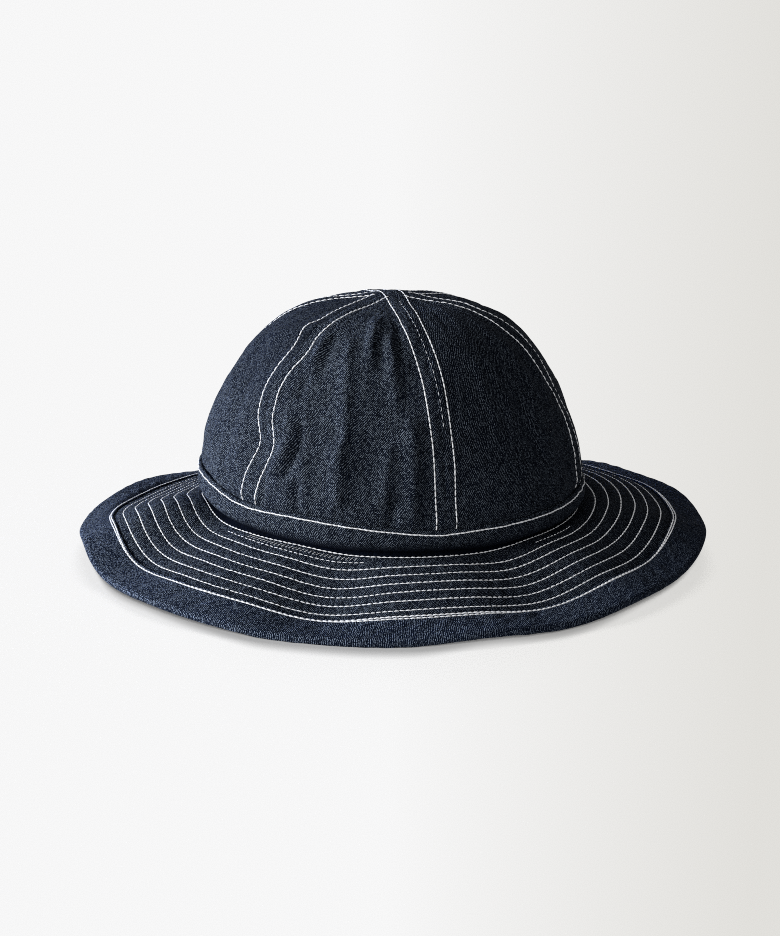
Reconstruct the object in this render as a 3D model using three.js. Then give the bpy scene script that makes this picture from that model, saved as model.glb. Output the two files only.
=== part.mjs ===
// A six-panel denim hat resting on its brim: crown panels, hat band, stitched brim and brim binding.
// Millimetres, +Z up. The origin is on the table under the middle of the crown.
// Azimuth 0 is the front seam, at -Y, and azimuths grow towards +X.

import * as THREE from "three";

// Crown: six panels that meet at a point on top
const PANELS = 6;
const BASE_SEAM_HEIGHT = 35.2;   // seam of crown and band, above the table
const CROWN_WALL = 1.4;
const TIP_RADIUS = 0.8;          // the panels' points stop this far from the middle of the top

// Band: the upright strip between crown and brim
const BAND_RADIUS = 95;          // outside; the band is 597 mm round
const BAND_BULGE = 0.6;          // half way up
const BAND_WALL = 1.8;

// Brim: distances run outwards along the cloth from a pivot circle inside the band
const PIVOT_RADIUS = 86;
const PIVOT_HEIGHT = 24;
const BRIM_START = 7.4;
const BRIM_WALL = 1.6;
const FIRST_ROW = 15.5;          // first of the even stitch rows
const ROW_PITCH = 6.5;
const STITCH_ROWS = 7;

// Binding: a wide strip folded over the edge of the brim
const BINDING_REACH = 17.1;      // from the last stitch row to the edge
const BINDING_HEM = 1.5;         // from the last stitch row back to the folded hem
const BINDING_WALL = 0.9;
const NOSE_STEPS = 4;
const FLAT_WIDTH = 5;            // underside next to the edge, which lies flat where it meets the table
const SETTLE_HEIGHT = 3;         // above the table, over which the cloth turns level

// Neighbouring pieces keep this gap
const GAP = 0.3;

// The hat slumps: its base is lower on one side, and the crown stands level again further up
const LEAN = 3;
const LEAN_AZIMUTH = 55;
const LEAN_FADE_HEIGHT = 60;

// Facet sizes, in degrees
const AZIMUTH_STEP = 5;
const RISE_STEP = 6;

// Crown section: angle above the base seam, and distance of the cloth from the middle of the base
const CROWN_PROFILE = [
  { rise: 0, reach: 95.0 },
  { rise: 18, reach: 94.1 },
  { rise: 36, reach: 94.4 },
  { rise: 52, reach: 96.0 },
  { rise: 66, reach: 93.7 },
  { rise: 78, reach: 90.8 },
  { rise: 90, reach: 91.4 },
];

// Soft dents in the crown, with a negative depth for a bulge; widths are in degrees
const CROWN_DENTS = [
  { azimuth: 301, rise: 17, depth: 2.6, across: 7, along: 8 },
  { azimuth: 296, rise: 36, depth: -1.4, across: 8, along: 10 },
  { azimuth: 321, rise: 26, depth: 1.8, across: 6, along: 20 },
  { azimuth: 340, rise: 22, depth: 1.4, across: 6, along: 18 },
  { azimuth: 32, rise: 30, depth: 1.6, across: 13, along: 16 },
  { azimuth: 150, rise: 32, depth: 2.0, across: 14, along: 18 },
  { azimuth: 214, rise: 24, depth: 1.8, across: 10, along: 16 },
];

// Waves of the brim: downward slope, in degrees, at its inner edge, at the last stitch row and on the binding
const BRIM_WAVES = [
  { azimuth: 0, inner: 10, outer: 22, binding: 9 },
  { azimuth: 15, inner: 17, outer: 19, binding: 5 },
  { azimuth: 30, inner: 0, outer: 23, binding: 12 },
  { azimuth: 45, inner: -3, outer: 24, binding: 8 },
  { azimuth: 60, inner: -10, outer: 14, binding: 23 },
  { azimuth: 75, inner: -14, outer: 28, binding: 16 },
  { azimuth: 90, inner: -15, outer: 27, binding: 9 },
  { azimuth: 105, inner: -7, outer: 26, binding: 7 },
  { azimuth: 120, inner: 1, outer: 22, binding: 7 },
  { azimuth: 135, inner: 15, outer: 24, binding: 17 },
  { azimuth: 150, inner: 17, outer: 23, binding: 18 },
  { azimuth: 165, inner: 15, outer: 21, binding: 18 },
  { azimuth: 180, inner: 14, outer: 21, binding: 18 },
  { azimuth: 195, inner: 21, outer: 24, binding: 20 },
  { azimuth: 210, inner: 20, outer: 20, binding: 12 },
  { azimuth: 225, inner: 24, outer: 14, binding: 1 },
  { azimuth: 240, inner: 21, outer: 13, binding: 2 },
  { azimuth: 255, inner: 0, outer: 22, binding: 17 },
  { azimuth: 270, inner: -20, outer: 37, binding: 16 },
  { azimuth: 285, inner: 11, outer: 25, binding: 8 },
  { azimuth: 300, inner: 14, outer: 18, binding: 16 },
  { azimuth: 315, inner: 18, outer: 15, binding: 19 },
  { azimuth: 330, inner: 29, outer: 14, binding: 11 },
  { azimuth: 345, inner: 14, outer: 20, binding: 20 },
];

// Sizes that follow from the ones above
const PANEL_ANGLE = 360 / PANELS;
const BAND_FOOT = BAND_RADIUS - PIVOT_RADIUS + 1;   // just outside the band
const LAST_ROW = FIRST_ROW + (STITCH_ROWS - 1) * ROW_PITCH;
const BRIM_EDGE = LAST_ROW + BINDING_REACH;
const EDGE_THICKNESS = BRIM_WALL + 2 * (GAP + BINDING_WALL);
const HALF_EDGE = EDGE_THICKNESS / 2;
const HALF_CHANNEL = BRIM_WALL / 2 + GAP;
const HEM = LAST_ROW - BINDING_HEM;
const NOSE_CENTRE = BRIM_EDGE - HALF_EDGE;
const CHANNEL_END = BRIM_EDGE - BINDING_WALL;
const BRIM_END = CHANNEL_END - GAP;
const FLAT_START = BRIM_EDGE - FLAT_WIDTH;
const BINDING_MIDDLE = (HEM + FLAT_START) / 2;

const radians = THREE.MathUtils.degToRad;

// Smooth curve through one column of a table, with each row's slope taken from its neighbours
function curveThrough(rows, key, column) {
  const at = rows.map((row) => row[key]);
  const value = rows.map((row) => row[column]);
  const last = rows.length - 1;
  const slope = at.map((_, i) => {
    const before = Math.max(i - 1, 0);
    const after = Math.min(i + 1, last);
    return (value[after] - value[before]) / (at[after] - at[before]);
  });
  return (x) => {
    let i = 0;
    while (i < last - 1 && x >= at[i + 1]) i += 1;
    const width = at[i + 1] - at[i];
    const t = (x - at[i]) / width;
    const rest = 1 - t;
    const ends = value[i] * (1 + 2 * t) * rest * rest + value[i + 1] * t * t * (3 - 2 * t);
    return ends + width * t * rest * (slope[i] * rest - slope[i + 1] * t);
  };
}

// The same, for a table that runs right round the hat
function curveAround(rows, column) {
  const [first, second] = rows;
  const last = rows[rows.length - 1];
  const turned = (row, turn) => ({ ...row, azimuth: row.azimuth + turn });
  const around = [turned(last, -360), ...rows, turned(first, 360), turned(second, 360)];
  const curve = curveThrough(around, "azimuth", column);
  return (azimuth) => curve(THREE.MathUtils.euclideanModulo(azimuth, 360));
}

const crownReach = curveThrough(CROWN_PROFILE, "rise", "reach");
const innerSlope = curveAround(BRIM_WAVES, "inner");
const outerSlope = curveAround(BRIM_WAVES, "outer");
const bindingSlope = curveAround(BRIM_WAVES, "binding");

function pointAt(azimuth, radius, height) {
  const angle = radians(azimuth);
  return new THREE.Vector3(radius * Math.sin(angle), -radius * Math.cos(angle), height);
}

// Smallest turn from one azimuth to another
function turnBetween(from, to) {
  return THREE.MathUtils.euclideanModulo(to - from + 180, 360) - 180;
}

function leanAt(azimuth, heightAboveSeam) {
  const share = THREE.MathUtils.clamp(1 - heightAboveSeam / LEAN_FADE_HEIGHT, 0, 1);
  return -LEAN * Math.cos(radians(azimuth - LEAN_AZIMUTH)) * share;
}

function dentDepth(azimuth, rise) {
  let depth = 0;
  for (const dent of CROWN_DENTS) {
    const across = turnBetween(dent.azimuth, azimuth) / dent.across;
    const along = (rise - dent.rise) / dent.along;
    depth += dent.depth * Math.exp(-across * across - along * along);
  }
  return depth;
}

// Radius and height of the crown's cloth, at a depth below its outside
function crownSection(azimuth, rise, depth) {
  const reach = crownReach(rise) - dentDepth(azimuth, rise) - depth;
  const above = reach * Math.sin(radians(rise));
  const height = BASE_SEAM_HEIGHT + above + leanAt(azimuth, above);
  return { radius: reach * Math.cos(radians(rise)), height };
}

// Point of the brim at a distance out along the cloth, and offset above its middle layer.
// Cloth that would sink below the table lies flat on it.
function brimPoint(azimuth, distance, offset) {
  const inner = radians(innerSlope(azimuth));
  const outer = radians(outerSlope(azimuth));
  const binding = radians(bindingSlope(azimuth));
  const within = Math.min(distance, LAST_ROW);
  const beyond = Math.max(distance - LAST_ROW, 0);
  const local = inner + (outer - inner) * (within / LAST_ROW);
  const mean = (inner + local) / 2;
  const radius = PIVOT_RADIUS + within * Math.cos(mean) + beyond * Math.cos(binding);
  const drop = within * Math.sin(mean) + beyond * Math.sin(binding);
  const height = Math.max(PIVOT_HEIGHT + leanAt(azimuth, 0) - drop, HALF_EDGE);
  const lifted = THREE.MathUtils.smoothstep(height, HALF_EDGE, HALF_EDGE + SETTLE_HEIGHT);
  const slope = lifted * (beyond > 0 ? binding : local);
  return [radius + offset * Math.sin(slope), height + offset * Math.cos(slope)];
}

// A closed solid from points and triangles, turned so that its faces point out
function solidGeometry(points, triangles) {
  const cross = new THREE.Vector3();
  let volume = 0;
  for (const [a, b, c] of triangles) {
    volume += points[a].dot(cross.crossVectors(points[b], points[c]));
  }
  const outward = volume > 0 ? triangles : triangles.map(([a, b, c]) => [a, c, b]);
  const geometry = new THREE.BufferGeometry().setFromPoints(points);
  geometry.setIndex(outward.flat());
  geometry.computeVertexNormals();
  return geometry;
}

// A ring whose closed section is a list of [radius, height] pairs, worked out at each azimuth.
// Each facet is split from its inner corner, so that layers facing each other split alike.
function ringGeometry(sectionAt) {
  const steps = 360 / AZIMUTH_STEP;
  const sections = [];
  for (let i = 0; i < steps; i += 1) sections.push(sectionAt(i * AZIMUTH_STEP));
  const points = sections.flatMap((section, i) =>
    section.map(([radius, height]) => pointAt(i * AZIMUTH_STEP, radius, height)));
  const triangles = [];
  sections.forEach((section, i) => {
    const count = section.length;
    const here = i * count;
    const there = ((i + 1) % steps) * count;
    for (let j = 0; j < count; j += 1) {
      const next = (j + 1) % count;
      const [a, b, c, d] = [here + j, there + j, there + next, here + next];
      if (section[next][0] > section[j][0]) triangles.push([a, b, c], [a, c, d]);
      else triangles.push([a, b, d], [b, c, d]);
    }
  });
  return solidGeometry(points, triangles);
}

// A wall between two matching grids of points, closed round its border
function wallGeometry(outside, inside) {
  const rows = outside.length;
  const columns = outside[0].length;
  const points = [...outside.flat(), ...inside.flat()];
  const shift = rows * columns;
  const triangles = [];
  for (let i = 0; i + 1 < rows; i += 1) {
    for (let j = 0; j + 1 < columns; j += 1) {
      const a = i * columns + j;
      const b = a + 1;
      const c = b + columns;
      const d = a + columns;
      triangles.push([a, b, c], [a, c, d]);
      triangles.push([shift + a, shift + c, shift + b], [shift + a, shift + d, shift + c]);
    }
  }
  const border = [];
  for (let j = 0; j < columns - 1; j += 1) border.push(j);
  for (let i = 0; i < rows - 1; i += 1) border.push(i * columns + columns - 1);
  for (let j = columns - 1; j > 0; j -= 1) border.push((rows - 1) * columns + j);
  for (let i = rows - 1; i > 0; i -= 1) border.push(i * columns);
  border.forEach((a, k) => {
    const b = border[(k + 1) % border.length];
    triangles.push([a, shift + a, shift + b], [a, shift + b, b]);
  });
  return solidGeometry(points, triangles);
}

// One crown panel, from half a gap beside one seam to half a gap beside the next
function panelGeometry(startAzimuth) {
  const tipRise = 90 - THREE.MathUtils.radToDeg(TIP_RADIUS / crownReach(90));
  const rises = [];
  for (let rise = 0; rise < 90; rise += RISE_STEP) rises.push(rise);
  rises.push(tipRise);
  const grid = (depth) => rises.map((rise) => {
    const row = [];
    for (let turn = 0; turn <= PANEL_ANGLE; turn += AZIMUTH_STEP) {
      const seamRadius = crownSection(startAzimuth + turn, rise, depth).radius;
      const margin = THREE.MathUtils.radToDeg(Math.asin(GAP / 2 / seamRadius));
      const azimuth = startAzimuth + THREE.MathUtils.clamp(turn, margin, PANEL_ANGLE - margin);
      const { radius, height } = crownSection(azimuth, rise, depth);
      row.push(pointAt(azimuth, radius, height + GAP / 2));
    }
    return row;
  });
  return wallGeometry(grid(0), grid(CROWN_WALL));
}

// The band stands on the brim and ends half a gap below the base seam
function bandGeometry() {
  return ringGeometry((azimuth) => {
    const top = BASE_SEAM_HEIGHT + leanAt(azimuth, 0) - GAP / 2;
    const footing = (radius) => {
      const [, height] = brimPoint(azimuth, radius - PIVOT_RADIUS, BRIM_WALL / 2);
      return height + GAP;
    };
    const outside = BAND_RADIUS;
    const inside = BAND_RADIUS - BAND_WALL;
    const middle = (top + footing(outside)) / 2;
    return [
      [outside, footing(outside)],
      [outside + BAND_BULGE, middle],
      [outside, top],
      [inside, top],
      [inside + BAND_BULGE, middle],
      [inside, footing(inside)],
    ];
  });
}

// The brim has a fold line at each stitch row and ends inside the binding
function brimGeometry() {
  const distances = [BRIM_START, BAND_FOOT];
  for (let row = 0; row < STITCH_ROWS - 1; row += 1) distances.push(FIRST_ROW + row * ROW_PITCH);
  distances.push(HEM, BINDING_MIDDLE, FLAT_START, BRIM_END);
  return ringGeometry((azimuth) => {
    const top = distances.map((distance) => brimPoint(azimuth, distance, BRIM_WALL / 2));
    const underside = distances.map((distance) => brimPoint(azimuth, distance, -BRIM_WALL / 2));
    return [...top, ...underside.reverse()];
  });
}

// The binding is a channel that holds the edge of the brim, with a round nose
function bindingGeometry() {
  const outside = [HEM, BINDING_MIDDLE, FLAT_START];
  const channel = [HEM, BINDING_MIDDLE, FLAT_START, CHANNEL_END];
  return ringGeometry((azimuth) => {
    const side = (distances, offset) => distances.map((distance) => brimPoint(azimuth, distance, offset));
    const nose = [];
    for (let step = 0; step <= NOSE_STEPS; step += 1) {
      const angle = Math.PI * (0.5 - step / NOSE_STEPS);
      const out = NOSE_CENTRE + HALF_EDGE * Math.cos(angle);
      nose.push(brimPoint(azimuth, out, HALF_EDGE * Math.sin(angle)));
    }
    return [
      ...side(outside, HALF_EDGE),
      ...nose,
      ...side(outside, -HALF_EDGE).reverse(),
      ...side(channel, -HALF_CHANNEL),
      ...side(channel, HALF_CHANNEL).reverse(),
    ];
  });
}

const DENIM = { color: 0x232a3d, roughness: 0.95, metalness: 0 };
const BINDING_DENIM = { color: 0x262f45, roughness: 0.95, metalness: 0 };

function addPiece(parent, name, geometry, finish) {
  const mesh = new THREE.Mesh(geometry, new THREE.MeshStandardMaterial(finish));
  mesh.name = name;
  parent.add(mesh);
}

const hat = new THREE.Group();
for (let panel = 0; panel < PANELS; panel += 1) {
  addPiece(hat, `crown_panel_${panel + 1}`, panelGeometry(panel * PANEL_ANGLE), DENIM);
}
addPiece(hat, "band", bandGeometry(), DENIM);
addPiece(hat, "brim", brimGeometry(), DENIM);
addPiece(hat, "brim_binding", bindingGeometry(), BINDING_DENIM);

export default hat;
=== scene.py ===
# Dresses the denim hat: fine cloth on every panel, white topstitching, and a plain pale studio.
import math

import bpy
import numpy as np
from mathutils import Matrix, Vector


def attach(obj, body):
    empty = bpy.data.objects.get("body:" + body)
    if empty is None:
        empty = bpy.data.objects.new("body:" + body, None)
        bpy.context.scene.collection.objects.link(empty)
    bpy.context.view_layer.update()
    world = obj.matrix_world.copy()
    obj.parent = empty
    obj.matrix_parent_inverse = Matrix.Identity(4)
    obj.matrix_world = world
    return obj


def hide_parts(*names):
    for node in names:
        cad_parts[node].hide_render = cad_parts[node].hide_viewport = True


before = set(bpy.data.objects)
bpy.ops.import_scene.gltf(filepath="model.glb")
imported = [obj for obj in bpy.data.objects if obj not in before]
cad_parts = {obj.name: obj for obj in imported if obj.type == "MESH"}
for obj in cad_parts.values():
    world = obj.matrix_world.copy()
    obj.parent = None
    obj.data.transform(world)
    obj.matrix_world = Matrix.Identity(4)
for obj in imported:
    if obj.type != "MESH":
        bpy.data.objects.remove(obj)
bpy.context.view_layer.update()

# All sizes below are in millimetres and degrees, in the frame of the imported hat:
# azimuth 0 is the front seam, at -Y, and azimuths grow towards +X.
MM = 0.001

# Crown
PANELS = 6
PANEL_ANGLE = 360 / PANELS
BASE_SEAM_HEIGHT = 35.2
CROWN_WALL = 1.4
TIP_RADIUS = 0.3
PANEL_GAP = 0.06

# Band
BAND_RADIUS = 95
BAND_BULGE = 1.1
BAND_WALL = 1.8
BAND_TUCK = 6.0          # roll of the band's foot under itself
BAND_TUCK_HEIGHT = 7.0
BAND_LIP = 0.4           # top edge that stands proud of the band
BAND_LIP_HEIGHT = 2.6
BAND_FOLD_HEIGHT = 0.6
BAND_UNEVENNESS = 0.12

# Brim: distances run outwards along the cloth from a pivot circle inside the band
PIVOT_RADIUS = 86
PIVOT_HEIGHT = 24
BRIM_START = 1.0
BRIM_WALL = 1.6
FIRST_ROW = 15.5
ROW_PITCH = 6.5
STITCH_ROWS = 7
LAST_ROW = FIRST_ROW + (STITCH_ROWS - 1) * ROW_PITCH

# Binding
BINDING_REACH = 17.1
BINDING_HEM = 1.5
BINDING_WALL = 0.9
CHANNEL_GAP = 0.3
TABLE_GAP = 0.02         # least height of the cloth above the table
HALF_CHANNEL = BRIM_WALL / 2 + CHANNEL_GAP
HALF_EDGE = HALF_CHANNEL + BINDING_WALL
BRIM_EDGE = LAST_ROW + BINDING_REACH
HEM = LAST_ROW - BINDING_HEM
HOLLOW_AZIMUTH = 236     # hollow beside the last row, where the binding curls up at the back
HOLLOW_REACH = 22
HOLLOW_DEPTH = 0.8
HOLLOW_CENTRE = LAST_ROW + 2.4
HOLLOW_WIDTH = 1.8
NOSE_CENTRE = BRIM_EDGE - HALF_EDGE
CHANNEL_END = BRIM_EDGE - BINDING_WALL
BRIM_END = CHANNEL_END - CHANNEL_GAP

# Slump of the hat to one side
LEAN = 3
LEAN_AZIMUTH = 55
LEAN_FADE_HEIGHT = 60

# Relief of the sewing
SEAM_STITCH = 4.8        # topstitching beside a crown seam
SEAM_LIFT = 0.45         # cloth raised by the seam allowances under it
SEAM_LIFT_FADE = 2.2
SEAM_VALLEY = 0.2
SEAM_VALLEY_WIDTH = 0.8
STITCH_GROOVE = 0.32
GROOVE_WIDTH = 0.6
FOLD_FULLNESS = 1.25     # share of the listed heights that the folds reach
FOLD_TAPER = 0.3         # share of its length over which a fold dies out
CROWN_UNEVENNESS = 0.25
CROWN_PUCKERING = 0.07
CALM_RADIUS = 40         # crown inside it, where the unevenness dies out
TIP_LIFT = 0.8           # thick cloth where the seams meet
TIP_LIFT_RADIUS = 11
BASE_PINCH = 1.4         # crown drawn in where it meets the band
BASE_PINCH_HEIGHT = 4.5
QUILT_PUFF = 0.2         # brim between two stitch rows
QUILT_UNEVENNESS = 0.35
QUILT_START = FIRST_ROW - 4
QUILT_FADE = 3
CHANNEL_CALM = 0.6       # inside the binding, where the brim's relief dies out
BRIM_PUCKERING = 0.03
ROW_WANDERING = 0.12
WANDER_APART = 40        # keeps one row's wander unlike the next one's
BINDING_GROOVE = 1.2 * STITCH_GROOVE
BINDING_GROOVE_WIDTH = 0.8
BINDING_PUCKERING = 0.02
BINDING_RIPPLE = 0.12
BINDING_SLANT = 0.35     # degrees round the hat to each millimetre out
UNDERSIDE_SHARE = 0.4    # of the binding's relief

# Topstitching
THREAD_WIDTH = 0.7
CROWN_PITCH = 3.1
BAND_PITCH = 2.5
BRIM_PITCH = 2.6
STITCH_SHARE = 0.9       # part of the pitch that each stitch covers
THREAD_SEAT = 0.25       # height of a thread's middle above the cloth, in thread widths
THREAD_LIFT = THREAD_SEAT * THREAD_WIDTH
THREAD_BOW = 0.3         # rise and dip of a stitch, in thread widths
THREAD_DIP = 0.6
STITCH_SLEW = (0.1, 0.02, 0.05)     # most that a stitch is turned by chance, in radians
STITCH_LEAST = (0.93, 0.9, 0.8)     # least and most size of a stitch, as shares
STITCH_MOST = (1.03, 1.08, 1.0)
DOUBLE_ROW = 0.3         # least gap of the doubled last row
DOUBLE_ROW_WANDERING = 0.1
PART_ROW = 10.9          # short row outside the inner one
PART_ROW_LIFT = 0.1
BAND_ROW = 1.3           # row below the band's top edge
BAND_ROW_WANDERING = 0.08
BAND_ROW_LIFT = 0.5
SEAM_THREAD_RISE = (29, 80)
SEAM_THREAD_TURN = 1.0   # joining thread beside the front seam's valley
SEAM_THREAD_LIFT = 0.25

# Mesh steps
RING_STEPS = 640
PANEL_COLUMNS = 84
PANEL_ROWS = 104
PANEL_ROW_GROWTH = 0.1
QUILT_STEPS = 8          # from one brim row to the next
ROW_TURN = 0.5
SEAM_ROW_STEPS = 90

# angle above the base seam, distance of the cloth from the middle of the base
CROWN_PROFILE = [
    (0, 95.0),
    (18, 94.1),
    (36, 94.4),
    (52, 96.0),
    (66, 93.7),
    (78, 90.8),
    (90, 91.4),
]

# azimuth, rise, depth, half width in azimuth, half width in rise
CROWN_DENTS = [
    (301, 17, 2.6, 7, 8),
    (296, 36, -1.4, 8, 10),
    (321, 26, 1.8, 6, 20),
    (340, 22, 1.4, 6, 18),
    (32, 30, 1.6, 13, 16),
    (150, 32, 2.0, 14, 18),
    (214, 24, 1.8, 10, 16),
    (0, 9, 1.8, 14, 7),
]

# Soft folds: start azimuth and rise, end azimuth and rise, height, half width
CROWN_FOLDS = [
    (333.5, 66, 336, 46, 1.4, 3.0),
    (339, 57, 340.5, 45, -0.7, 2.5),
    (343.5, 57, 346.5, 35, 1.3, 3.0),
    (348.5, 64, 348, 48, -1.1, 2.2),
    (324, 56, 328.5, 38, 1.1, 3.2),
    (328.5, 38, 330.5, 24, 1.5, 2.8),
    (310, 57, 311.5, 45, 0.9, 3.0),
    (314.5, 57, 317, 43, -1.1, 2.8),
    (310.5, 42, 310.5, 35, -0.9, 2.2),
    (309.5, 29, 311.5, 22, 0.8, 2.5),
    (311.5, 22, 306.5, 12, 1.5, 3.0),
    (314, 29, 315.5, 22, -1.2, 1.8),
    (315.5, 22, 311.5, 12, -2.0, 2.2),
    (317.5, 19, 319.5, 4, 0.8, 2.2),
    (316, 12, 317, 2, -1.4, 2.4),
    (328.5, 23, 329.5, 6, 2.1, 4.2),
    (330, 25, 329.5, 17, 0.7, 2.5),
    (344, 23, 342, 8, 1.4, 3.0),
    (345.5, 10, 344, 1, -1.3, 2.4),
    (351, 30, 350.5, 1, 1.5, 4.0),
    (305, 9, 305, 3, -0.7, 2.0),
    (336.5, 28, 337, 23, -0.7, 2.5),
    (326.5, 29, 326.5, 24, -0.7, 2.5),
    (347, 5, 347, 1, 0.7, 2.0),
    (262, 38, 281, 27, 0.6, 1.4),
    (262, 45, 298, 60, 1.6, 6.0),
]

# Sideways sway of a seam, in degrees: seam, then rise and sway in pairs
SEAM_SWAY = {
    0: [(0, 0), (40, -0.2), (60, -2.2), (75, -2.5), (90, 0)],
    1: [(0, 0), (25, 0.4), (50, 0.2), (62, 2.2), (72, 4), (82, 2.5), (90, 0)],
    2: [(0, 0), (30, -0.7), (55, 0.6), (90, 0)],
    3: [(0, 0), (20, 0.5), (45, -0.5), (90, 0)],
    4: [(0, 0), (25, -0.6), (50, 0.5), (90, 0)],
    5: [
        (0, -1), (10, 0.2), (15, 1.5), (21, 2.7), (27, 0), (32, -1), (37, -1.5),
        (42, -0.8), (46, 0.8), (50, 1.6), (55, 0.2), (61, 1.4), (75, 0.5), (90, 0),
    ],
}

# Painted shade towards a panel's top: share of the pale flecks taken away, and where that starts and how far
# it grows
PAINTED_TOP_SHADE = {5: 0.45}
PAINTED_TOP_SHADE_RISE = 15
PAINTED_TOP_SHADE_REACH = 35

# Painted shade on the brim and its binding on the side away from the lights: share of the pale flecks taken
# away, with its azimuth and half width
PAINTED_SIDE_SHADE = 0.42
SIDE_AZIMUTH = 62
SIDE_REACH = 42

# Painted shade in the crevice under the band's bulge: heights over which it fades out, on the band above its
# foot and on the brim about its inner row
PAINTED_FOOT_SHADE = 0.5
FOOT_FADE = 6.5
PAINTED_INNER_SHADE = 0.5
INNER_FADE = 2.5

# azimuth, height of the band's top edge above the base seam
BAND_RISE = [
    (0, 0),
    (15, 1),
    (45, 2.2),
    (60, 3),
    (90, 3),
    (135, 4),
    (180, 3),
    (225, 5),
    (270, 6),
    (282, 5.5),
    (292, 3.3),
    (300, 3),
    (320, 3.6),
    (330, 2.8),
    (345, 1.1),
    (358, 0),
]

# azimuth, distance of the brim row under the band's foot
INNER_ROW = [
    (0, 7.7),
    (10, 6.4),
    (20, 5.6),
    (45, 5.6),
    (60, 7),
    (90, 8),
    (180, 8),
    (270, 8),
    (288, 7.3),
    (303, 6.1),
    (316, 4.9),
    (327, 5.2),
    (337, 6.2),
    (346, 7.4),
]

# Where the doubled last row parts: azimuth, gap, half width in azimuth
DOUBLE_ROW_GAPS = [
    (352, 1.5, 15),
    (72, 1.2, 16),
    (130, 0.8, 14),
    (205, 1.0, 20),
    (268, 0.9, 9),
]

# azimuth, downward slopes at the inner edge, at the last stitch row and on the binding
BRIM_WAVES = [
    (0, 10, 22, 9),
    (15, 17, 19, 5),
    (30, 0, 23, 12),
    (45, -3, 24, 8),
    (60, -10, 17, 18),
    (75, -14, 26, 16),
    (90, -14, 27, 10),
    (105, -7, 26, 7),
    (120, 1, 22, 7),
    (135, 15, 24, 17),
    (150, 17, 23, 18),
    (165, 15, 21, 18),
    (180, 14, 21, 18),
    (195, 21, 24, 20),
    (210, 20, 20, 12),
    (225, 24, 14, 1),
    (240, 21, 14, 8),
    (255, 5, 22, 20),
    (270, -15, 35, 17),
    (285, 13, 23, 11),
    (300, 14, 18, 16),
    (315, 18, 15, 19),
    (330, 29, 14, 11),
    (345, 14, 20, 20),
]


# Shape of the cloth

def curve_through(rows, x):
    """Smooth curve through (at, value) rows, with each row's slope taken from its neighbours."""
    at, value = np.array(rows, float).T
    number = np.arange(len(at))
    before = np.maximum(number - 1, 0)
    after = np.minimum(number + 1, len(at) - 1)
    slope = (value[after] - value[before]) / (at[after] - at[before])
    i = np.clip(np.searchsorted(at, x, side="right") - 1, 0, len(at) - 2)
    width = at[i + 1] - at[i]
    t = (x - at[i]) / width
    ends = value[i] * (1 + 2 * t) * (1 - t) ** 2 + value[i + 1] * t**2 * (3 - 2 * t)
    return ends + width * t * (1 - t) * (slope[i] * (1 - t) - slope[i + 1] * t)


def round_curve(rows, azimuth):
    """Smooth curve through (azimuth, value) rows, closed right round the hat."""
    last = (rows[-1][0] - 360, rows[-1][1])
    first = [(at + 360, value) for at, value in rows[:2]]
    return curve_through([last, *rows, *first], np.mod(azimuth, 360))


def brim_wave(azimuth, column):
    """One column of the brim's waves."""
    return round_curve([(row[0], row[column]) for row in BRIM_WAVES], azimuth)


def smooth_step(x):
    t = np.clip(x, 0, 1)
    return t * t * (3 - 2 * t)


def bell(x):
    """Smooth hump, 1 in its middle."""
    return np.exp(-(x**2))


def turn_from(start, azimuth):
    """Smallest turn from one azimuth to another."""
    return np.mod(azimuth - start + 180, 360) - 180


def place(azimuth, radius, height):
    angle = np.radians(azimuth)
    return np.stack(np.broadcast_arrays(radius * np.sin(angle), -radius * np.cos(angle), height), axis=-1)


def lean_at(azimuth, height_above_seam):
    share = np.clip(1 - height_above_seam / LEAN_FADE_HEIGHT, 0, 1)
    return -LEAN * np.cos(np.radians(azimuth - LEAN_AZIMUTH)) * share


class Crumple:
    """Soft unevenness that closes round the hat: a sum of waves, drawn with a fixed seed."""

    def __init__(self, seed, waves, turns, lengths):
        draw = np.random.default_rng(seed)
        turn = draw.integers(*turns, waves)
        length = draw.uniform(*lengths, waves)
        way = draw.choice([-1, 1], waves)
        phase = draw.uniform(0, 2 * math.pi, waves)
        self.waves = list(zip(turn, way * 2 * math.pi / length, phase))

    def __call__(self, azimuth, distance):
        angle = np.radians(azimuth)
        total = sum(np.sin(turn * angle + pace * distance + phase) for turn, pace, phase in self.waves)
        return total / math.sqrt(len(self.waves) / 2)


CROWN_CRUMPLE = Crumple(seed=3, waves=26, turns=(4, 26), lengths=(30, 90))
CROWN_PUCKER = Crumple(seed=5, waves=24, turns=(50, 130), lengths=(9, 30))
BAND_CRUMPLE = Crumple(seed=8, waves=22, turns=(18, 80), lengths=(12, 40))
BRIM_PUCKER = Crumple(seed=13, waves=30, turns=(60, 150), lengths=(9, 30))
BINDING_TWIST = Crumple(seed=21, waves=26, turns=(40, 120), lengths=(12, 34))
ROW_WANDER = Crumple(seed=29, waves=14, turns=(4, 22), lengths=(15, 40))


# Crown surface

FOLDS_SEED = 41
FOLDS_EACH = 6
FOLD_MARGIN = 9


def drawn_folds():
    """A few plain folds for the panels that have none listed."""
    draw = np.random.default_rng(FOLDS_SEED)
    folds = []
    for panel in range(PANELS - 1):
        for _ in range(FOLDS_EACH):
            azimuth = panel * PANEL_ANGLE + draw.uniform(FOLD_MARGIN, PANEL_ANGLE - FOLD_MARGIN)
            low = draw.uniform(2, 40)
            high = low + draw.uniform(12, 26)
            sway = draw.uniform(-2, 2)
            height = draw.uniform(0.3, 0.75) * draw.choice([-1, 1])
            folds.append((azimuth, high, azimuth + sway, low, height, draw.uniform(3, 4.5)))
    return folds


ALL_FOLDS = CROWN_FOLDS + drawn_folds()


def seam_azimuth(seam, rise):
    """Path of a crown seam, which sways a little on its way up."""
    return seam * PANEL_ANGLE + curve_through(SEAM_SWAY[seam % PANELS], rise)


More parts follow.
